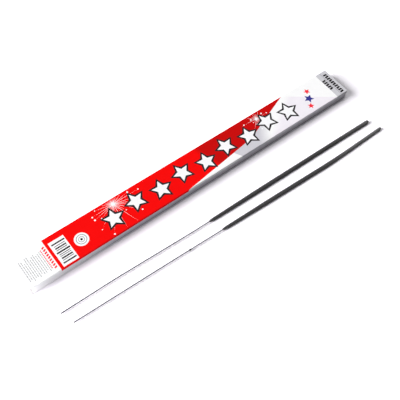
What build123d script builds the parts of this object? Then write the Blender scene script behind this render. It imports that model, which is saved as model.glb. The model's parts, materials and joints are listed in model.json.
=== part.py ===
from build123d import *
import math
import os

# A pack of hand sparklers: a long carton folded from thin board, with a tuck flap at each end,
# a row of sparklers lying in it and two more laid out on the table in front of it.
# The origin is the middle of the carton's base, +X runs along the carton, +Y to its back.

# Sparkler: a steel wire, dipped over more than half its length
sparkler_length = 350.0
wire_diameter = 1.0
coating_length = 200.0
coating_diameter = 4.0
neck_diameter = 2.7
film_thickness = 0.12
foot_length = 4.0
swell_length = 58.0
tip_length = 1.8
tip_flat_diameter = 1.8
tip_cover = 1.0

# Bead of coating that ran down the bare wire of the near sparkler
bead_diameter = 1.7
bead_length = 3.2
bead_belly_length = 1.2
bead_before_coating = 35.0

# Carton, folded from one sheet of board
board = 0.4
carton_width = 33.3
carton_height = 11.0
end_room = 6.8
corner_radius = 0.5
crease_gap = 0.05
glue_flap_height = 8.5
glue_flap_inset = 3.0
glue_flap_bevel = 4.0

# End closure: a panel creased to the bottom, with a lip that tucks in under the top panel
end_panel_side_gap = 0.7
fold_radius = 0.3
lip_top_clearance = 0.15
lip_side_clearance = 1.0
lip_length = 7.0
lip_corner_radius = 2.4

# Dust flaps, creased to the side panels just inside the end panel
dust_flap_length = 9.5
dust_flap_clearance = 0.15
dust_flap_floor_clearance = 0.35
dust_flap_lip_clearance = 0.45
dust_flap_foot_slope = 26.0
dust_flap_tip_height = 2.1
dust_flap_corner_radius = 0.8

# Sparklers in the carton, side by side on its bottom panel
packed_count = 6
packed_side_room = 1.6
packed_floor_clearance = 0.15

# Loose sparklers: where the handle end lies, the heading along the table, and the slight bends
# in the wire, each by its share of the bare or the coated length and its turn in degrees.
# The near one is thin towards its tip, where the coating ran off before it dried
bend_radius = 800.0
far_handle_from_left_end = 9.9
far_handle_from_front = 28.5
far_heading = -0.87
far_first_bend_share = 0.35
far_first_turn = -1.43
far_second_bend_share = 0.87
far_second_turn = 1.2
near_handle_from_left_end = 14.3
near_handle_from_front = 41.1
near_heading = -1.84
near_bare_bend_share = 0.63
near_bare_turn = -0.25
near_coated_bend_share = 0.665
near_coated_turn = 2.96
near_taper_length = 30.0
near_tip_diameter = 3.1

# Places that follow from the sizes above
carton_length = sparkler_length + 2 * end_room
carton_end = carton_length / 2
hinge_x = carton_end - board / 2
hinge_z = board / 2
lip_radius = carton_height - board - lip_top_clearance - hinge_z
dust_x = hinge_x - board - dust_flap_clearance
dust_y = carton_width / 2 - board / 2
side_end = dust_x - board / 2 - crease_gap
bare_length = sparkler_length - coating_length
short_foot = ((foot_length, coating_diameter),)
long_foot = ((foot_length, neck_diameter), (foot_length + swell_length, coating_diameter))
blunt_tip = ((tip_length, coating_diameter),)
thin_tip = ((tip_length + near_taper_length, coating_diameter), (tip_length, near_tip_diameter))
far_bends = (
    (far_first_bend_share * bare_length, far_first_turn),
    (far_second_bend_share * bare_length, far_second_turn),
)
near_bends = (
    (near_bare_bend_share * bare_length, near_bare_turn),
    (bare_length + near_coated_bend_share * coating_length, near_coated_turn),
)


def on_run(bends, distance):
    """Place on the sparkler's centre line, at a distance from the handle end, facing the tip."""
    place = Location()
    travelled = 0.0
    for bend_distance, turn in bends:
        if bend_distance >= distance:
            break
        place = place * Pos(bend_distance - travelled, 0, 0) * Rot(0, 0, turn)
        travelled = bend_distance
    return place * Pos(distance - travelled, 0, 0)


def round_bar(bends, first, last, diameter):
    """Round bar along the centre line: straight runs joined by wide tangent arcs at the bends."""
    stops = [first, *(distance for distance, turn in bends if first < distance < last), last]
    points = [on_run(bends, stop).position for stop in stops]
    path = FilletPolyline(*points, radius=bend_radius) if len(points) > 2 else Line(*points)
    section = Plane(on_run(bends, first)).rotated((0, 90, 0)) * Circle(diameter / 2)
    return sweep(section, path=path)


def turned(stations):
    """Round solid about the X axis, through stations of place and diameter."""
    profile = [(place, diameter / 2) for place, diameter in stations]
    outline = Polyline((stations[0][0], 0), *profile, (stations[-1][0], 0), close=True)
    return revolve(make_face(outline), Axis.X)


def coating(bends, foot, tip):
    """Dried coating with its foot at the origin: a foot that starts as a thin film on the wire,
    an even body, and a blunt tip beyond the end of the wire; bored for the wire."""
    film = (0, wire_diameter + 2 * film_thickness)
    body_start = foot[-1][0]
    tip_reach = tip[0][0]
    body_end = coating_length - tip_reach
    nose = [(tip_reach - from_end, diameter) for from_end, diameter in tip]
    solid = turned((film, *foot)) + round_bar(bends, body_start, body_end, coating_diameter)
    solid += on_run(bends, body_end) * turned((*nose, (tip_reach, tip_flat_diameter)))
    return solid - round_bar(bends, 0, coating_length - tip_cover, wire_diameter)


def sparkler(bends, foot, tip):
    """Wire and coating of one sparkler, its handle end at the origin and its tip along +X."""
    wire = round_bar(bends, 0, sparkler_length - tip_cover, wire_diameter)
    coated_bends = [(stop - bare_length, turn) for stop, turn in bends if stop > bare_length]
    return wire, on_run(bends, bare_length) * coating(coated_bends, foot, tip)


def on_table(from_left_end, from_front, heading):
    """Place of a loose sparkler's handle end beside the carton, with its coating on the table."""
    start = Pos(from_left_end - carton_end, -carton_width / 2 - from_front, coating_diameter / 2)
    return start * Rot(0, 0, heading)


def bead():
    """Drop of coating dried round the bare wire, centred on the origin."""
    half = bead_length / 2
    belly = bead_belly_length / 2
    on_wire = wire_diameter / 2
    outline = Polyline(
        (-half, on_wire),
        (-belly, bead_diameter / 2),
        (belly, bead_diameter / 2),
        (half, on_wire),
        close=True,
    )
    return revolve(make_face(outline), Axis.X)


def sleeve_panel(corners, half_length):
    """One panel of the sleeve: its share of the folded section, mitred at the creases."""
    outside = RectangleRounded(carton_width, carton_height, corner_radius)
    inside = Rectangle(carton_width - 2 * board, carton_height - 2 * board)
    section = Pos(0, carton_height / 2) * (outside - inside)
    section = section & Polygon(*corners, align=None)
    return extrude(Plane.YZ * section, half_length, both=True)


def glue_flap():
    """Strip creased to the bottom panel and glued up the inside of the back panel."""
    half = side_end - glue_flap_inset
    outline = Polygon(
        (-half, board),
        (half, board),
        (half - glue_flap_bevel, board + glue_flap_height),
        (glue_flap_bevel - half, board + glue_flap_height),
        align=None,
    )
    strip = extrude(Plane.XZ * outline, board)
    return Pos(0, carton_width / 2 - board, 0) * strip


def end_panel():
    """Right end panel: round at the crease it swings on, folded over at the top to the lip."""
    section = Circle(board / 2) + Pos(0, lip_radius / 2) * Rectangle(board, lip_radius)
    section = fillet(section.vertices().group_by(Axis.Y)[-1].sort_by(Axis.X)[-1], fold_radius)
    width = carton_width - 2 * end_panel_side_gap
    return Pos(hinge_x, 0, hinge_z) * extrude(Plane.XZ * section, width / 2, both=True)


def tuck_lip():
    """Lip of the right end panel, curved about the crease so that it swings in under the top."""
    reach = 2 * lip_radius * math.tan(lip_length / lip_radius)
    ring = Circle(lip_radius) - Circle(lip_radius - board)
    section = ring & Polygon(
        (-board / 2, 0), (-board / 2, 2 * lip_radius), (-reach, 2 * lip_radius), align=None
    )
    lip_half_width = carton_width / 2 - board - lip_side_clearance
    lip = extrude(Plane.XZ * section, lip_half_width, both=True)
    tip_corners = lip.faces().sort_by(Axis.X)[0].edges().filter_by(Axis.Y, reverse=True)
    return Pos(hinge_x, 0, hinge_z) * fillet(tip_corners, lip_corner_radius)


def dust_flap():
    """Right front dust flap: round at its crease, cut back above and below towards its free end."""
    low = board + dust_flap_floor_clearance
    high = hinge_z + lip_radius - board - dust_flap_lip_clearance
    tip_low = low + dust_flap_length * math.tan(math.radians(dust_flap_foot_slope))
    outline = Polygon(
        (0, low),
        (dust_flap_length, tip_low),
        (dust_flap_length, tip_low + dust_flap_tip_height),
        (0, high),
        align=None,
    )
    free_corners = outline.vertices().group_by(Axis.X)[-1]
    outline = fillet(free_corners, dust_flap_corner_radius)
    flap = extrude(Plane.YZ * outline, board / 2, both=True)
    crease = Pos(0, 0, (low + high) / 2) * Cylinder(board / 2, high - low)
    return Pos(dust_x, -dust_y, 0) * (flap + crease)


half_width = carton_width / 2
half_height = carton_height / 2
ridge = half_width - half_height
bottom_end = carton_end - board - crease_gap
nodes = {
    "carton_top_panel": sleeve_panel(
        (
            (-half_width, carton_height),
            (half_width, carton_height),
            (ridge, half_height),
            (-ridge, half_height),
        ),
        carton_end,
    ),
    "carton_bottom_panel": sleeve_panel(
        ((-half_width, 0), (half_width, 0), (ridge, half_height), (-ridge, half_height)), bottom_end
    ),
    "carton_front_panel": sleeve_panel(
        ((-half_width, 0), (-half_width, carton_height), (-ridge, half_height)), side_end
    ),
    "carton_back_panel": sleeve_panel(
        ((half_width, 0), (half_width, carton_height), (ridge, half_height)), side_end
    ),
    "carton_glue_flap": glue_flap(),
}

right_pieces = {
    "end_panel": end_panel(),
    "tuck_lip": tuck_lip(),
    "front_dust_flap": dust_flap(),
    "back_dust_flap": mirror(dust_flap(), about=Plane.XZ),
}
for name, piece in right_pieces.items():
    nodes[f"right_{name}"] = piece
    nodes[f"left_{name}"] = mirror(piece, about=Plane.YZ)

packed_wire, packed_coating = sparkler((), short_foot, blunt_tip)
packed_y = half_width - board - packed_side_room - coating_diameter / 2
packed_z = board + packed_floor_clearance + coating_diameter / 2
for index in range(packed_count):
    row_y = packed_y * (2 * index / (packed_count - 1) - 1)
    place = Pos(-sparkler_length / 2, row_y, packed_z)
    nodes[f"packed_sparkler_{index + 1}_wire"] = place * packed_wire
    nodes[f"packed_sparkler_{index + 1}_coating"] = place * packed_coating

far_place = on_table(far_handle_from_left_end, far_handle_from_front, far_heading)
far_wire, far_coating = sparkler(far_bends, long_foot, blunt_tip)
nodes["far_sparkler_wire"] = far_place * far_wire
nodes["far_sparkler_coating"] = far_place * far_coating

near_place = on_table(near_handle_from_left_end, near_handle_from_front, near_heading)
near_wire, near_coating = sparkler(near_bends, long_foot, thin_tip)
nodes["near_sparkler_wire"] = near_place * near_wire
nodes["near_sparkler_coating"] = near_place * near_coating
bead_place = near_place * on_run(near_bends, bare_length - bead_before_coating)
nodes["near_sparkler_bead"] = bead_place * bead()

os.makedirs("parts", exist_ok=True)
for name, solid in nodes.items():
    export_step(solid, f"parts/{name}.step")
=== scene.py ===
import json
import math

import bmesh
import bpy
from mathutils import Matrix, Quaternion, Vector


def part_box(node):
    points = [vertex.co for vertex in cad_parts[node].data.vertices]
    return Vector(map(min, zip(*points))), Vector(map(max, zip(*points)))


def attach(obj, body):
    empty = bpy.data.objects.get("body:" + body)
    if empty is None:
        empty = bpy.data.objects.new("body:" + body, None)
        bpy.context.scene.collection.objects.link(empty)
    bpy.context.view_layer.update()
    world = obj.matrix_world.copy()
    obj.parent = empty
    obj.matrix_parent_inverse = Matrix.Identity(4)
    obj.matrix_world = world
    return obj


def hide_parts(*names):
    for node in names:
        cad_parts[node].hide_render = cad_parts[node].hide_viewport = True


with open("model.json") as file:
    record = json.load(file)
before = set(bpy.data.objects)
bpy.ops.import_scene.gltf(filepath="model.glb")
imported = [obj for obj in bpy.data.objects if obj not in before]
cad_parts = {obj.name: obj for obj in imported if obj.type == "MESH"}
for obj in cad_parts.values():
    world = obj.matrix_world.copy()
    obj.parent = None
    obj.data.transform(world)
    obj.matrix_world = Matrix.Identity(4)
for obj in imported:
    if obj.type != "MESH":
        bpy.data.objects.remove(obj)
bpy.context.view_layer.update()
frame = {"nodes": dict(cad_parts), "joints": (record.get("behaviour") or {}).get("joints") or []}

# Bottom and glue flap of the carton: parts of one sheet of white-lined pulp board, 0.4 mm thick,
# which is creased, folded round to a sleeve and glued up inside its back.
# The outside is clay-coated and left unprinted here, the inside shows the grey pulp.
board_thickness = 0.0004
top_low, top_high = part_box("carton_top_panel")
carton_half_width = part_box("carton_back_panel")[1].y
carton_height = top_high.z
board_white = (0.965, 0.965, 0.97, 1.0)
board_pulp = (0.43, 0.40, 0.36, 1.0)
board_gloss = 0.2
fibre_waves = 2600.0
fibre_height = 0.00004
mottle_waves = 140.0


def node_material(name):
    """New material with its node tree and its surface shader."""
    material = bpy.data.materials.new(name)
    material.use_nodes = True
    tree = material.node_tree
    return material, tree, tree.nodes["Principled BSDF"]


def add_node(tree, kind, inputs, **settings):
    """New node; each of its inputs is given a value or another node's output."""
    node = tree.nodes.new(kind)
    for name, value in settings.items():
        setattr(node, name, value)
    for name, value in inputs.items():
        if isinstance(value, bpy.types.NodeSocket):
            tree.links.new(value, node.inputs[name])
        else:
            node.inputs[name].default_value = value
    return node


def calculate(tree, operation, first, second=0.0):
    """Output of a calculation on two values or outputs."""
    return add_node(tree, "ShaderNodeMath", {0: first, 1: second}, operation=operation).outputs[0]


def rescale(tree, value, from_range, to_range):
    """Output that takes a value from one range to another and stops at its ends."""
    inputs = {"Value": value}
    for side, (low, high) in (("From", from_range), ("To", to_range)):
        inputs[f"{side} Min"] = low
        inputs[f"{side} Max"] = high
    return add_node(tree, "ShaderNodeMapRange", inputs).outputs["Result"]


def mix_colours(tree, share, first, second):
    """Output of two colours mixed by a share."""
    mix = add_node(tree, "ShaderNodeMix", {"Factor": share}, data_type="RGBA")
    # The sockets for colours come after those for numbers and vectors
    first_socket, second_socket = mix.inputs[6], mix.inputs[7]
    for socket, colour in ((first_socket, first), (second_socket, second)):
        if isinstance(colour, bpy.types.NodeSocket):
            tree.links.new(colour, socket)
        else:
            socket.default_value = colour
    return mix.outputs[2]


def noise(tree, place, scale, detail=3.0):
    """Output of an even noise with a number of waves to the metre."""
    settings = {"Vector": place, "Scale": scale, "Detail": detail, "Roughness": 0.6}
    return add_node(tree, "ShaderNodeTexNoise", settings).outputs["Fac"]


def place_on_piece(tree):
    """Place on the piece in metres, and its three parts."""
    place = add_node(tree, "ShaderNodeTexCoord", {}).outputs["Object"]
    parts = add_node(tree, "ShaderNodeSeparateXYZ", {0: place}).outputs
    return place, parts["X"], parts["Y"], parts["Z"]


def board_finish(tree, shader, place, colour, gloss):
    """Surface of coated board: faint mottling of the coating over the felt of the fibres."""
    fibres = noise(tree, place, fibre_waves)
    mottle = noise(tree, place, mottle_waves, 4.0)
    shade = rescale(tree, mottle, (0.3, 0.7), (0.965, 1.0))
    shaded = add_node(tree, "ShaderNodeVectorMath", {0: colour, "Scale": shade}, operation="SCALE")
    felt = {"Strength": 0.12, "Distance": fibre_height, "Height": fibres}
    bump = add_node(tree, "ShaderNodeBump", felt)
    tree.links.new(shaded.outputs["Vector"], shader.inputs["Base Color"])
    tree.links.new(rescale(tree, fibres, (0.2, 0.8), (0.42, 0.62)), shader.inputs["Roughness"])
    tree.links.new(bump.outputs["Normal"], shader.inputs["Normal"])
    shader.inputs["Specular IOR Level"].default_value = gloss


def pulp_side(tree, across, up):
    """Share that is 1 on the pulp side of the folded sleeve and 0 on its coated side."""
    from_middle = calculate(tree, "ABSOLUTE", calculate(tree, "SUBTRACT", up, carton_height / 2))
    low = calculate(tree, "LESS_THAN", from_middle, carton_height / 2 - board_thickness / 2)
    sideways = calculate(tree, "ABSOLUTE", across)
    narrow = calculate(tree, "LESS_THAN", sideways, carton_half_width - board_thickness / 2)
    return calculate(tree, "MULTIPLY", low, narrow)


def cover(node_names, material):
    """Gives CAD pieces a material of this scene."""
    for name in node_names:
        frame["nodes"][name].data.materials.clear()
        frame["nodes"][name].data.materials.append(material)


plain_board, tree, shader = node_material("plain_board")
place, _, across, up = place_on_piece(tree)
bare = mix_colours(tree, pulp_side(tree, across, up), board_white, board_pulp)
board_finish(tree, shader, place, bare, board_gloss)
cover(("carton_bottom_panel", "carton_glue_flap"), plain_board)

# Top, front and back panels: the same sheet, printed in flat fields before it is folded, so that
# the top's print runs over the folds a little way. A red field fills the middle and ends in two
# slants, both ends stay pale, a silver band crosses the right end, and the sides are silver-grey.
# On the sides, painted shade darkens the grey towards the bottom edge, and painted light fades
# it to white towards the left end.
print_start = top_low.x
sharp = 0.0003
print_wrap = 0.0026
print_gloss = 0.03
ink_red = (0.92, 0.003, 0.003, 1.0)
ink_dark_red = (0.57, 0.004, 0.004, 1.0)
ink_patch = (0.63, 0.62, 0.67, 1.0)
ink_lavender = (0.895, 0.855, 0.915, 1.0)
ink_silver = (0.61, 0.605, 0.64, 1.0)
ink_side_grey = (0.765, 0.735, 0.825, 1.0)
painted_side_shade = (0.362, 0.347, 0.393, 1.0)
# Painted shade: height over which the sides' grey darkens towards the bottom edge
painted_shade_rise = (0.0005, 0.0085)
# Painted light: run along the sides over which white at the left end fades to their grey
painted_light_start, painted_light_stop = 0.004, 0.095
# Each field has a left edge, the lean of that edge, a fade and an ink; each slant has the first two
red_fields = (
    (0.0295, 0.0, sharp, ink_red),
    (0.2000, -0.3, 0.006, ink_dark_red),
)
pale_fields = (
    (0.2247, -0.56, sharp, ink_patch),
    (0.2480, 0.6, 0.014, board_white),
    (0.2560, 1.6, 0.012, ink_lavender),
    (0.3490, -1.4, sharp, board_white),
    (0.3497, 0.0, sharp, ink_silver),
)
slants = ((0.1616, 7.5), (0.2164, 2.6))


def field_share(tree, along, from_front, start, lean, fade):
    """Share that is 1 to the right of a leaning line on the panel."""
    leant = calculate(tree, "SUBTRACT", along, calculate(tree, "MULTIPLY", from_front, lean))
    edge = print_start + start
    return rescale(tree, leant, (edge, edge + fade), (0.0, 1.0))


def lay_fields(tree, along, from_front, fields):
    """Colour of the white board with flat fields printed one over the other from left to right."""
    colour = board_white
    for start, lean, fade, ink in fields:
        share = field_share(tree, along, from_front, start, lean, fade)
        colour = mix_colours(tree, share, colour, ink)
    return colour


printed_board, tree, shader = node_material("printed_board")
place, along, across, up = place_on_piece(tree)
from_front = calculate(tree, "ADD", across, carton_half_width)
red_colour = lay_fields(tree, along, from_front, red_fields)
pale_colour = lay_fields(tree, along, from_front, pale_fields)
slant_shares = [field_share(tree, along, from_front, *slant, sharp) for slant in slants]
past_slants = calculate(tree, "MAXIMUM", *slant_shares)
top_colour = mix_colours(tree, past_slants, red_colour, pale_colour)
# Painted shade: the sides' grey darkens towards the bottom edge, where the floor beside them is in
# shadow
above_painted_shade = rescale(tree, up, painted_shade_rise, (0.0, 1.0))
grey_with_painted_shade = mix_colours(tree, above_painted_shade, painted_side_shade, ink_side_grey)
# Painted light: the sides fade from white at the left end, where the lamp at the left lights them,
# to grey
painted_light_run = (print_start + painted_light_start, print_start + painted_light_stop)
past_painted_light = rescale(tree, along, painted_light_run, (0.0, 1.0))
side_with_painted_light_and_shade = mix_colours(tree, past_painted_light, board_white, grey_with_painted_shade)
on_top = calculate(tree, "GREATER_THAN", up, carton_height - print_wrap)
sheet_colour = mix_colours(tree, on_top, side_with_painted_light_and_shade, top_colour)
sheet_colour = mix_colours(tree, pulp_side(tree, across, up), sheet_colour, board_pulp)
board_finish(tree, shader, place, sheet_colour, print_gloss)
cover(("carton_top_panel", "carton_front_panel", "carton_back_panel"), printed_board)

# Rows of short grey dashes across the left end of the panel, in the first ink of the overprint.
# Each of its inks is a thin film with a root in the board, laid down after the flat fields.
ink_step = 0.000012
ink_root = 0.000004
ink_gloss = 0.08
press_waves = 900.0
rule_rows = 11
rule_pitch = 0.00185
rule_width = 0.0005
first_rule = 0.0040
rule_start, rule_stop = 0.0040, 0.0275
rule_wander = 0.0012
most_dashes = 14
shortest_dash = 0.0012
dash_growth = 0.0007
dash_gap = 0.0005


def open_print(name):
    """Empty ink layer, open for drawing."""
    bpy.ops.object.select_all(action="DESELECT")
    bpy.ops.mesh.primitive_plane_add(location=(0.0, 0.0, 0.0))
    bpy.context.object.name = name
    bpy.ops.object.mode_set(mode="EDIT")
    bpy.ops.mesh.delete(type="VERT")


def on_panel(from_left, from_front, level):
    """Point on the top panel, at the top of an ink layer."""
    height = carton_height + level * ink_step
    return Vector((print_start + from_left, from_front - carton_half_width, height))


def draw_bar(centre, length, width, turn=0.0):
    """Flat bar about its centre."""
    bpy.ops.mesh.primitive_plane_add(size=1.0, location=centre)
    bpy.ops.transform.resize(value=(length, width, 1.0), center_override=centre)
    bpy.ops.transform.rotate(value=-turn, orient_axis="Z", center_override=centre)


def close_print(level, ink):
    """Gives the drawn layer its thickness down into the board, and its ink."""
    bpy.ops.mesh.select_all(action="SELECT")
    depth = level * ink_step + ink_root
    bpy.ops.mesh.extrude_region_move(TRANSFORM_OT_translate={"value": (0.0, 0.0, -depth)})
    bpy.ops.mesh.select_all(action="SELECT")
    bpy.ops.mesh.normals_make_consistent(inside=False)
    bpy.ops.object.mode_set(mode="OBJECT")
    layer = bpy.context.object
    layer.data.materials.append(ink)
    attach(layer, "carton")


def ink_material(name, colour, fleck):
    """Flat printing ink: even colour with the faint mottle of a press."""
    material, tree, shader = node_material(name)
    place = place_on_piece(tree)[0]
    mottle = rescale(tree, noise(tree, place, press_waves), (0.35, 0.7), (0.0, 1.0))
    roughness = rescale(tree, noise(tree, place, fibre_waves), (0.2, 0.8), (0.4, 0.6))
    tree.links.new(mix_colours(tree, mottle, colour, fleck), shader.inputs["Base Color"])
    tree.links.new(roughness, shader.inputs["Roughness"])
    shader.inputs["Specular IOR Level"].default_value = ink_gloss
    return material


grey_ink = ink_material("grey_ink", (0.24, 0.24, 0.26, 1.0), (0.34, 0.34, 0.37, 1.0))
open_print("grey_rules")
for row in range(rule_rows):
    row_along = first_rule + row * rule_pitch
    dash_place = rule_start + rule_wander * (1.0 + math.sin(2.3 * row))
    row_end = rule_stop - rule_wander * (1.0 + math.sin(4.1 * row))
    for step in range(most_dashes):
        dash_length = shortest_dash + dash_growth * (1.0 + math.sin(3.7 * step + 1.9 * row))
        if dash_place + dash_length > row_end:
            break
        dash_middle = on_panel(row_along, dash_place + dash_length / 2, 1)
        draw_bar(dash_middle, rule_width, dash_length)
        dash_place += dash_length + dash_gap
close_print(1, grey_ink)

# Row of slanted red dashes beside the red field, with a finer row next to it.
# They are printed in the lighter red of the small motifs.
red_ink = ink_material("red_ink", (0.86, 0.02, 0.04, 1.0), (0.93, 0.05, 0.07, 1.0))
# Each row has a place along the panel, its first dash, a pitch, a count, and a dash's size and turn
dash_rows = (
    (0.0272, 0.0050, 0.00265, 9, (0.0026, 0.0015), math.radians(24.0)),
    (0.0243, 0.0062, 0.00170, 12, (0.0011, 0.0010), 0.0),
)
open_print("red_dashes")
for row_along, row_start, pitch, count, dash_size, dash_turn in dash_rows:
    for step in range(count):
        draw_bar(on_panel(row_along, row_start + pitch * step, 1), *dash_size, dash_turn)
close_print(1, red_ink)

# White motifs on the red field: a panel for the bars, a disc, and two bursts of needles and dots.
# They are knocked out of the red on the press, so that they show as white as the board.
white_ink = ink_material("white_ink", (0.94, 0.94, 0.95, 1.0), (0.90, 0.90, 0.92, 1.0))
disc_place = (0.0578, 0.0143)
disc_radius = 0.0065
bar_panel_place = (0.0399, 0.0141)
bar_panel_size = (0.0148, 0.0262)
needle_width = 0.0004
needle_gap = 0.0001
shortest_needle = 0.0024
spark_gap = 0.0010
spark_radius = 0.0007
spark_change = 0.0002
burst_low, burst_high = 0.0008, 0.0325
# Each burst has a place along and across the panel, the radius of its core, a reach and a count
bursts = ((0.0985, 0.0275, 0.0019, 0.030, 30), (0.2640, 0.0262, 0.0015, 0.014, 18))


def draw_round(centre, radius, corners=24):
    """Flat round spot."""
    bpy.ops.mesh.primitive_circle_add(
        vertices=corners, radius=radius, fill_type="NGON", location=centre
    )


def draw_needle(centre, angle, start, stop, width):
    """Flat needle on a line from a centre, with its point outwards."""
    direction = Vector((math.cos(angle), math.sin(angle), 0.0))
    middle = centre + direction * (start + (stop - start) / 3.0)
    bpy.ops.mesh.primitive_circle_add(vertices=3, radius=1.0, fill_type="NGON", location=middle)
    stretch = (width / math.sqrt(3.0), (stop - start) / 1.5, 1.0)
    bpy.ops.transform.resize(value=stretch, center_override=middle)
    bpy.ops.transform.rotate(value=math.pi / 2 - angle, orient_axis="Z", center_override=middle)


open_print("white_rays")
draw_bar(on_panel(*bar_panel_place, 1), *bar_panel_size)
draw_round(on_panel(*disc_place, 1), disc_radius, 48)
for burst_along, burst_across, core, reach, count in bursts:
    middle = on_panel(burst_along, burst_across, 1)
    draw_round(middle, core)
    for step in range(count):
        angle = 2.0 * math.pi * (step + 0.2 * math.sin(4.7 * step)) / count
        direction = Vector((math.cos(angle), math.sin(angle), 0.0))
        rise = math.sin(angle)
        height = burst_high - burst_across if rise > 0.0 else burst_across - burst_low
        room = height / max(abs(rise), 0.001)
        stop = min(reach * (0.66 + 0.34 * math.sin(2.9 * step + 0.6)), room)
        if stop > core + shortest_needle:
            draw_needle(middle, angle, core + needle_gap, stop, needle_width)
        if stop + 2.0 * spark_gap < room:
            spark_size = spark_radius + spark_change * math.sin(1.7 * step)
            draw_round(middle + direction * (stop + spark_gap), spark_size, 12)
close_print(1, white_ink)

# Black bars on the white panel, a dot on the disc, and tally marks on the end band.
# They are plain marks in one black ink, pressed over the white and the silver.
black_ink = ink_material("black_ink", (0.010, 0.008, 0.010, 1.0), (0.022, 0.018, 0.020, 1.0))
# Each bar has a place across the panel, a width and a length
bars = (
    (0.0040, 0.0013, 0.0126),
    (0.0065, 0.0006, 0.0104),
    (0.0085, 0.0014, 0.0104),
    (0.0107, 0.0006, 0.0104),
    (0.0124, 0.0007, 0.0104),
    (0.0146, 0.0015, 0.0126),
    (0.0170, 0.0007, 0.0104),
    (0.0190, 0.0013, 0.0104),
    (0.0212, 0.0006, 0.0104),
    (0.0237, 0.0013, 0.0126),
)
bars_along = 0.0403
dot_radius = 0.0011
# Each row of tally marks has a place along the panel, its first mark and a count
tally_rows = ((0.3588, 0.0030, 10), (0.3522, 0.0115, 5))
tally_pitch = 0.0028
tally_size = (0.0042, 0.0020)
tally_lean = 0.12
open_print("black_bars")
for bar_place, bar_width, bar_length in bars:
    draw_bar(on_panel(bars_along, bar_place, 2), bar_length, bar_width)
draw_round(on_panel(*disc_place, 2), dot_radius, 16)
for row_along, row_start, count in tally_rows:
    for step in range(count):
        mark_middle = on_panel(row_along, row_start + tally_pitch * step, 2)
        draw_bar(mark_middle, *tally_size, tally_lean * (-1.0) ** step)
close_print(2, black_ink)

# Grey rings on the disc and a fine rule along the end band, by the edge of the lip under the panel.
# They are thin lines in the grey of the dashes at the left end.
band_rule_place = (0.3555, 0.0166)
band_rule_size = (0.0004, 0.0326)
# Each ring has a radius and a width
rings = ((0.0048, 0.0006), (0.0028, 0.0005))


def draw_ring(centre, radius, width):
    """Flat ring: a round spot, inset and opened."""
    bpy.ops.mesh.primitive_circle_add(vertices=48, radius=radius, fill_type="NGON", location=centre)
    bpy.ops.mesh.inset(thickness=width, depth=0.0)
    bpy.ops.mesh.delete(type="FACE")


open_print("grey_rings")
for ring_radius, ring_width in rings:
    draw_ring(on_panel(*disc_place, 2), ring_radius, ring_width)
draw_bar(on_panel(*band_rule_place, 2), *band_rule_size)
close_print(2, grey_ink)

# Row of stars along the panel: each a white star on a larger black one, turned to and fro.
# They are printed last, over the fields and the bursts, black first and white on top.
star_count = 9
star_pitch = 0.0256
first_star = 0.0910
star_row = 0.0166
star_sway = 0.0016
star_turn = 0.18


def draw_star(centre, radius, turn, waist):
    """Flat five-pointed star: a ten-cornered spot with every second corner drawn in."""
    bpy.ops.mesh.primitive_circle_add(
        vertices=10, radius=radius, fill_type="NGON", location=centre, rotation=(0.0, 0.0, turn)
    )
    mesh = bmesh.from_edit_mesh(bpy.context.object.data)
    for corner in [vertex for vertex in mesh.verts if vertex.select][::2]:
        corner.select = False
    mesh.select_flush_mode()
    bmesh.update_edit_mesh(bpy.context.object.data)
    bpy.ops.transform.resize(value=(waist, waist, 1.0), center_override=centre)


for layer_name, ink, level, radius, waist in (
    ("black_stars", black_ink, 2, 0.0122, 0.535),
    ("white_stars", white_ink, 3, 0.0092, 0.47),
):
    open_print(layer_name)
    for step in range(star_count):
        lean = (-1.0) ** step
        star_across = star_row - star_sway * lean
        star_middle = on_panel(first_star + step * star_pitch, star_across, level)
        draw_star(star_middle, radius, -star_turn * lean, waist)
    close_print(level, ink)

# Three small stars in the pale field before the band, one blue and two red.
# The blue one has a spot ink of its own; the red ones are printed with the red dashes.
blue_ink = ink_material("blue_ink", (0.03, 0.03, 0.22, 1.0), (0.05, 0.05, 0.30, 1.0))
small_waist = 0.46
# Each star has a place along and across the panel, a radius and a turn
blue_places = ((0.3240, 0.0150, 0.0054, 0.3),)
red_places = ((0.3285, 0.0230, 0.0036, 0.0), (0.3195, 0.0070, 0.0036, 0.6))
for layer_name, ink, places in (
    ("blue_star", blue_ink, blue_places),
    ("red_stars", red_ink, red_places),
):
    open_print(layer_name)
    for star_along, star_across, radius, turn in places:
        draw_star(on_panel(star_along, star_across, 1), radius, turn, small_waist)
    close_print(1, ink)

# End closures: an end panel and a curved tuck lip at each end, creased from the same board,
# silver-grey on the outside. Two dust flaps, one on each side panel, stand behind each end panel.
joint_places = {joint["name"]: joint["pos_m"] for joint in frame["joints"] if "pos_m" in joint}
tuck_crease = joint_places["right_tuck_hinge"]
dust_crease = joint_places["right_front_dust_hinge"]
lip_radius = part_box("right_tuck_lip")[1].z - tuck_crease[2] - board_thickness / 2
ink_end_grey = (0.66, 0.65, 0.68, 1.0)
end_gloss = 0.05

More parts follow.
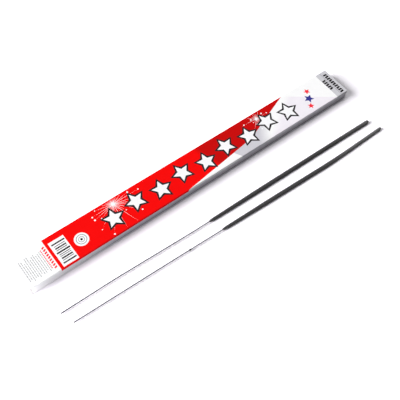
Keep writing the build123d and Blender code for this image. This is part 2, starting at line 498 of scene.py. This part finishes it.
flap_board, tree, shader = node_material("flap_board")
place, along, _, up = place_on_piece(tree)
outward = calculate(tree, "ABSOLUTE", along)
from_crease = add_node(
    tree,
    "ShaderNodeCombineXYZ",
    {
        "X": calculate(tree, "SUBTRACT", outward, tuck_crease[0]),
        "Z": calculate(tree, "SUBTRACT", up, tuck_crease[2]),
    },
)
reach = add_node(
    tree, "ShaderNodeVectorMath", {0: from_crease.outputs["Vector"]}, operation="LENGTH"
)
on_panel_side = calculate(tree, "GREATER_THAN", outward, tuck_crease[0])
on_lip_side = calculate(tree, "GREATER_THAN", reach.outputs["Value"], lip_radius)
coated = calculate(tree, "MAXIMUM", on_panel_side, on_lip_side)
flap_colour = mix_colours(tree, coated, board_pulp, ink_end_grey)
board_finish(tree, shader, place, flap_colour, end_gloss)
dust_board, tree, shader = node_material("dust_board")
place, along, _, _ = place_on_piece(tree)
coated = calculate(tree, "GREATER_THAN", calculate(tree, "ABSOLUTE", along), dust_crease[0])
dust_colour = mix_colours(tree, coated, board_pulp, board_white)
board_finish(tree, shader, place, dust_colour, board_gloss)
for end in ("left", "right"):
    cover((f"{end}_end_panel", f"{end}_tuck_lip"), flap_board)
    cover((f"{end}_front_dust_flap", f"{end}_back_dust_flap"), dust_board)

# Wires of the sparklers: drawn steel, 1 mm thick, cut to length and left bare at the handle.
# Drawing leaves fine streaks along the wire and a dull grey skin.
steel_dark = (0.030, 0.030, 0.037, 1.0)
steel_light = (0.105, 0.105, 0.125, 1.0)
streak_waves = (60.0, 2400.0, 2400.0)
drawn_steel, tree, shader = node_material("drawn_steel")
place = place_on_piece(tree)[0]
stretched = add_node(tree, "ShaderNodeMapping", {"Vector": place, "Scale": streak_waves})
streaks = noise(tree, stretched.outputs["Vector"], 1.0)
steel = mix_colours(tree, streaks, steel_dark, steel_light)
tree.links.new(steel, shader.inputs["Base Color"])
tree.links.new(rescale(tree, streaks, (0.2, 0.8), (0.55, 0.35)), shader.inputs["Roughness"])
shader.inputs["Metallic"].default_value = 1.0
cover([name for name in frame["nodes"] if name.endswith("_wire")], drawn_steel)

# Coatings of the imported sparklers: a grey slurry of metal powder, which the wires are dipped
# in and which dries to a matt, grainy crust. It is paler where the tip dried last.
slurry_dark = (0.020, 0.020, 0.021, 1.0)
slurry_light = (0.085, 0.085, 0.085, 1.0)
slurry_pale = (0.19, 0.19, 0.19, 1.0)
slurry_fleck = (0.24, 0.24, 0.25, 1.0)
slurry_gloss = 0.2
grain_waves, patch_waves, fleck_waves = 1500.0, 120.0, 3800.0
grain_height = 0.0001
pale_run = 0.050


def dried_slurry(name, pale_start, palest):
    """Material of a crust that pales from a place along the pack to its tip."""
    material, tree, shader = node_material(name)
    place, along, _, _ = place_on_piece(tree)
    grains = noise(tree, place, grain_waves, 4.0)
    slurry = mix_colours(tree, grains, slurry_dark, slurry_light)
    patches = rescale(tree, noise(tree, place, patch_waves), (0.3, 0.7), (0.5, 1.0))
    paleness = rescale(tree, along, (pale_start, pale_start + pale_run), (0.0, palest))
    patchy = calculate(tree, "MULTIPLY", paleness, patches)
    slurry = mix_colours(tree, patchy, slurry, slurry_pale)
    flecks = rescale(tree, noise(tree, place, fleck_waves, 1.0), (0.70, 0.76), (0.0, 0.6))
    slurry = mix_colours(tree, flecks, slurry, slurry_fleck)
    lumps = {"Strength": 0.5, "Distance": grain_height, "Height": grains}
    bump = add_node(tree, "ShaderNodeBump", lumps)
    tree.links.new(slurry, shader.inputs["Base Color"])
    tree.links.new(bump.outputs["Normal"], shader.inputs["Normal"])
    tree.links.new(rescale(tree, grains, (0.2, 0.8), (0.75, 0.95)), shader.inputs["Roughness"])
    shader.inputs["Specular IOR Level"].default_value = slurry_gloss
    return material


packed_slurry = dried_slurry("packed_slurry", pale_start=0.130, palest=0.6)
cover([name for name in frame["nodes"] if name.endswith("_coating")], packed_slurry)

# Coatings of the two loose sparklers: the same crust, seen close. It starts as a film on the
# wire, swells slowly to full thickness and ends blunt, uneven where the slurry ran;
# on the near one it ran thin towards the tip.
crust_length = 0.2
crust_radius = 0.00191
crust_corners = 32
crust_voxel = 0.00023
bend_steps = 8
end_tolerance = 0.00006
ring_tolerance = 1e-6
# Each layer of lumps has a size and a height
crust_lumps = ((0.007, 0.00012), (0.0016, 0.00007), (0.0005, 0.00007))
# Each station has a distance from the foot and a radius
crust_foot = (
    (0.0, 0.00062),
    (0.0008, 0.00096),
    (0.0022, 0.00120),
    (0.0050, 0.00134),
    (0.0140, 0.00146),
)
far_stations = (
    *crust_foot,
    (0.0260, 0.00160),
    (0.0380, 0.00168),
    (0.0500, 0.00184),
    (0.0640, crust_radius),
    (0.1500, 0.00189),
    (0.1976, 0.00186),
    (0.1986, 0.00178),
    (0.1994, 0.00150),
    (0.1998, 0.00118),
    (crust_length, 0.00085),
)
near_stations = (
    *crust_foot,
    (0.0260, 0.00154),
    (0.0380, 0.00172),
    (0.0500, 0.00186),
    (0.0620, crust_radius),
    (0.1250, crust_radius),
    (0.1340, 0.00186),
    (0.1460, 0.00172),
    (0.1580, 0.00166),
    (0.1820, 0.00156),
    (0.1978, 0.00148),
    (0.1988, 0.00138),
    (0.1995, 0.00116),
    (crust_length, 0.00080),
)


def end_middle(node, right):
    """Middle of the flat face at the left or right end of a CAD piece."""
    points = [vertex.co for vertex in frame["nodes"][node].data.vertices]
    end = max(p.x for p in points) if right else min(p.x for p in points)
    face = [p for p in points if abs(p.x - end) < end_tolerance]
    low = Vector(min(p[axis] for p in face) for axis in range(3))
    high = Vector(max(p[axis] for p in face) for axis in range(3))
    return (low + high) / 2


def radius_at(stations, distance):
    """Radius of a rod at a distance from its foot, between two of its stations."""
    for (first, first_radius), (last, last_radius) in zip(stations, stations[1:]):
        if distance <= last:
            return first_radius + (last_radius - first_radius) * (distance - first) / (last - first)
    return stations[-1][1]


def dipped_rod(name, stations, bend_start, bend_length, bend_turn):
    """Straight round rod along +X, shaped ring by ring, then bent; its bend starts at x = 0."""
    bpy.ops.object.select_all(action="DESELECT")
    bpy.ops.mesh.primitive_cylinder_add(
        vertices=crust_corners,
        radius=crust_radius,
        depth=crust_length,
        rotation=(0.0, math.pi / 2, 0.0),
    )
    rod = bpy.context.object
    rod.name = name
    rod.location.x = crust_length / 2 - bend_start
    bpy.ops.object.transform_apply(location=True, rotation=True, scale=True)
    bpy.ops.object.mode_set(mode="EDIT")
    bend_rings = [bend_start + bend_length * step / bend_steps for step in range(bend_steps + 1)]
    rings = sorted({*(distance for distance, radius in stations), *bend_rings})
    for distance in rings[1:-1]:
        bpy.ops.mesh.select_all(action="SELECT")
        bpy.ops.mesh.bisect(plane_co=(distance - bend_start, 0.0, 0.0), plane_no=(1.0, 0.0, 0.0))
    for distance in rings:
        ring_x = distance - bend_start
        mesh = bmesh.from_edit_mesh(rod.data)
        for vertex in mesh.verts:
            vertex.select = abs(vertex.co.x - ring_x) < ring_tolerance
        mesh.select_flush_mode()
        share = radius_at(stations, distance) / crust_radius
        bpy.ops.transform.resize(value=(1.0, share, share), center_override=(ring_x, 0.0, 0.0))
    bpy.ops.object.mode_set(mode="OBJECT")
    if bend_turn:
        bpy.ops.object.modifier_add(type="SIMPLE_DEFORM")
        bend = rod.modifiers[-1]
        bend.deform_method = "BEND"
        bend.deform_axis = "Z"
        bend.angle = bend_turn
        bend.limits = (bend_start / crust_length, (bend_start + bend_length) / crust_length)
        bpy.ops.object.modifier_apply(modifier=bend.name)
    return rod


def lay_crust(rod, start, heading, body, slurry):
    """Lays a rod where a CAD coating lies and gives it the uneven, grainy surface of the crust."""
    rod.rotation_euler = (0.0, 0.0, heading)
    rod.location = start
    bpy.ops.object.transform_apply(location=True, rotation=True, scale=True)
    bpy.ops.object.modifier_add(type="REMESH")
    rod.modifiers[-1].mode = "VOXEL"
    rod.modifiers[-1].voxel_size = crust_voxel
    bpy.ops.object.modifier_apply(modifier=rod.modifiers[-1].name)
    for size, height in crust_lumps:
        lumps = bpy.data.textures.new("crust_lumps", type="CLOUDS")
        lumps.noise_scale = size
        lumps.noise_depth = 1
        bpy.ops.object.modifier_add(type="DISPLACE")
        rod.modifiers[-1].texture = lumps
        rod.modifiers[-1].texture_coords = "LOCAL"
        rod.modifiers[-1].strength = height
        rod.modifiers[-1].mid_level = 0.55
        bpy.ops.object.modifier_apply(modifier=rod.modifiers[-1].name)
    bpy.ops.object.shade_smooth()
    rod.data.materials.clear()
    rod.data.materials.append(slurry)
    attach(rod, body)
    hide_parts(f"{body}_coating")


far_foot = end_middle("far_sparkler_coating", False)
far_tip = end_middle("far_sparkler_coating", True)
far_heading = math.atan2(far_tip.y - far_foot.y, far_tip.x - far_foot.x)
far_middle_place = crust_length / 2
far_crust = dipped_rod(
    "far_crust", far_stations, far_middle_place, bend_length=0.01, bend_turn=0.0
)
far_direction = Vector((math.cos(far_heading), math.sin(far_heading), 0.0))
far_middle = far_foot + far_middle_place * far_direction
far_slurry = dried_slurry("far_slurry", pale_start=0.125, palest=0.5)
lay_crust(far_crust, far_middle, far_heading, "far_sparkler", far_slurry)

near_turn = math.radians(2.96)
near_bend_radius = 0.8
near_bend_place = 0.133
near_bend_start = near_bend_place - near_bend_radius * math.tan(near_turn / 2)
near_foot = end_middle("near_sparkler_coating", False)
near_tip = end_middle("near_sparkler_coating", True)
near_tip_run = crust_length - near_bend_place
near_lean = math.atan2(
    near_tip_run * math.sin(near_turn), near_bend_place + near_tip_run * math.cos(near_turn)
)
near_heading = math.atan2(near_tip.y - near_foot.y, near_tip.x - near_foot.x) - near_lean
near_crust = dipped_rod(
    "near_crust", near_stations, near_bend_start, near_bend_radius * near_turn, near_turn
)
near_direction = Vector((math.cos(near_heading), math.sin(near_heading), 0.0))
near_start = near_foot + near_bend_start * near_direction
near_slurry = dried_slurry("near_slurry", pale_start=0.100, palest=0.7)
lay_crust(near_crust, near_start, near_heading, "near_sparkler", near_slurry)

# Bead on the near wire: a drop of the slurry that ran down the wire and dried round it.
# It is thickest in its middle and as grainy as the crust.
bead_low, bead_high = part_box("near_sparkler_bead")
bead_share = 0.98
bead_grain = 0.0001
bpy.ops.object.select_all(action="DESELECT")
bpy.ops.mesh.primitive_uv_sphere_add(segments=48, ring_count=32, radius=0.5)
bead = bpy.context.object
bead.name = "slurry_bead"
bead.scale = (bead_high - bead_low) * bead_share
bead.location = (bead_low + bead_high) / 2
bpy.ops.object.transform_apply(location=True, rotation=True, scale=True)
bpy.ops.object.modifier_add(type="DISPLACE")
bead.modifiers[-1].texture = bpy.data.textures["crust_lumps"]
bead.modifiers[-1].texture_coords = "LOCAL"
bead.modifiers[-1].strength = bead_grain
bead.modifiers[-1].mid_level = 1.0
bpy.ops.object.modifier_apply(modifier=bead.modifiers[-1].name)
bpy.ops.object.shade_smooth()
bead.data.materials.append(near_slurry)
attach(bead, "near_sparkler")
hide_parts("near_sparkler_bead")

# Table: a plain white sheet that the pack lies on. It shows as white and keeps the shadows
# close to the carton and the sparklers.
table_size = 6.0
table_drop = 0.0001
sheet_to_light = (0.55, 0.55, 0.55, 1.0)
sheet_to_eye = (1.28, 1.245, 1.31, 1.0)


def seen_share(tree):
    """Share that is 1 for what the camera sees, straight, in a gloss or through a clear piece."""
    rays = add_node(tree, "ShaderNodeLightPath", {}).outputs
    seen = calculate(tree, "MAXIMUM", rays["Is Camera Ray"], rays["Is Glossy Ray"])
    return calculate(tree, "MAXIMUM", seen, rays["Is Transmission Ray"])


bpy.ops.object.select_all(action="DESELECT")
bpy.ops.mesh.primitive_plane_add(size=table_size, location=(0.0, 0.0, -table_drop))
table = bpy.context.object
table.name = "table"
white_sheet, tree, shader = node_material("white_sheet")
shader.inputs["Roughness"].default_value = 0.9
shader.inputs["Specular IOR Level"].default_value = 0.0
sheet_white = mix_colours(tree, seen_share(tree), sheet_to_light, sheet_to_eye)
tree.links.new(sheet_white, shader.inputs["Base Color"])
table.data.materials.append(white_sheet)

# Light: a soft lamp low at the left, a broader and weaker one high behind the pack, two cards of
# light at the front left corner, and a dim even surround, which is white to the camera.
card_tint = (0.97, 0.94, 1.0)
surround_to_light, surround_to_eye = 0.05, 1.0


def add_sun(direction, energy, spread):
    """Distant lamp that shines from a direction, spread over an angle."""
    bpy.ops.object.light_add(type="SUN", location=direction)
    sun = bpy.context.object
    sun.data.energy = energy
    sun.data.angle = math.radians(spread)
    sun.rotation_euler = (-sun.location).to_track_quat("-Z", "Y").to_euler()


def add_card(location, aim, energy, size):
    """Square card of light, faintly violet, which is turned to a point and not seen itself."""
    bpy.ops.object.light_add(type="AREA", location=location)
    card = bpy.context.object
    card.data.energy = energy
    card.data.size = size
    card.data.color = card_tint
    card.visible_camera = False
    card.rotation_euler = (Vector(aim) - card.location).to_track_quat("-Z", "Y").to_euler()


add_sun(direction=(-0.83, 0.27, 0.48), energy=4.75, spread=34.0)
add_sun(direction=(0.0, 0.35, 1.0), energy=0.8, spread=50.0)
add_card(
    location=(-0.30, -0.165, 0.052),
    aim=(-0.08, -0.017, 0.006),
    energy=0.22,
    size=0.06,
)
add_card(
    location=(-0.183, -0.0295, 0.007),
    aim=(-0.180, -0.0167, 0.005),
    energy=0.0007,
    size=0.008,
)

world = bpy.context.scene.world or bpy.data.worlds.new("studio")
bpy.context.scene.world = world
world.use_nodes = True
surround = world.node_tree.nodes["Background"]
surround.inputs["Color"].default_value = (1.0, 1.0, 1.0, 1.0)
seen = seen_share(world.node_tree)
level = rescale(world.node_tree, seen, (0.0, 1.0), (surround_to_light, surround_to_eye))
world.node_tree.links.new(level, surround.inputs["Strength"])

# Camera: looks down on the pack from the front left, as one stands at the table.
# Its place, lens and tilt were fitted to the corners of the carton and to both sparklers.
camera_azimuth = math.radians(-43.4)
camera_elevation = math.radians(59.07)
camera_roll = math.radians(6.45)
camera_distance = 0.5685
camera_lens = 56.12
sensor_width = 36.0
camera_aim = Vector((-0.0141, -0.02605, 0.0))
camera_side = Vector(
    (
        math.sin(camera_azimuth) * math.cos(camera_elevation),
        -math.cos(camera_azimuth) * math.cos(camera_elevation),
        math.sin(camera_elevation),
    )
)
bpy.ops.object.camera_add(location=camera_aim + camera_distance * camera_side)
camera = bpy.context.object
camera.rotation_mode = "QUATERNION"
facing = (-camera_side).to_track_quat("-Z", "Y")
camera.rotation_quaternion = facing @ Quaternion((0.0, 0.0, 1.0), camera_roll)
camera.data.lens = camera_lens
camera.data.sensor_width = sensor_width
camera.data.clip_start = 0.01
camera.data.clip_end = 20.0
bpy.context.scene.camera = camera
bpy.context.scene.view_settings.view_transform = "Standard"
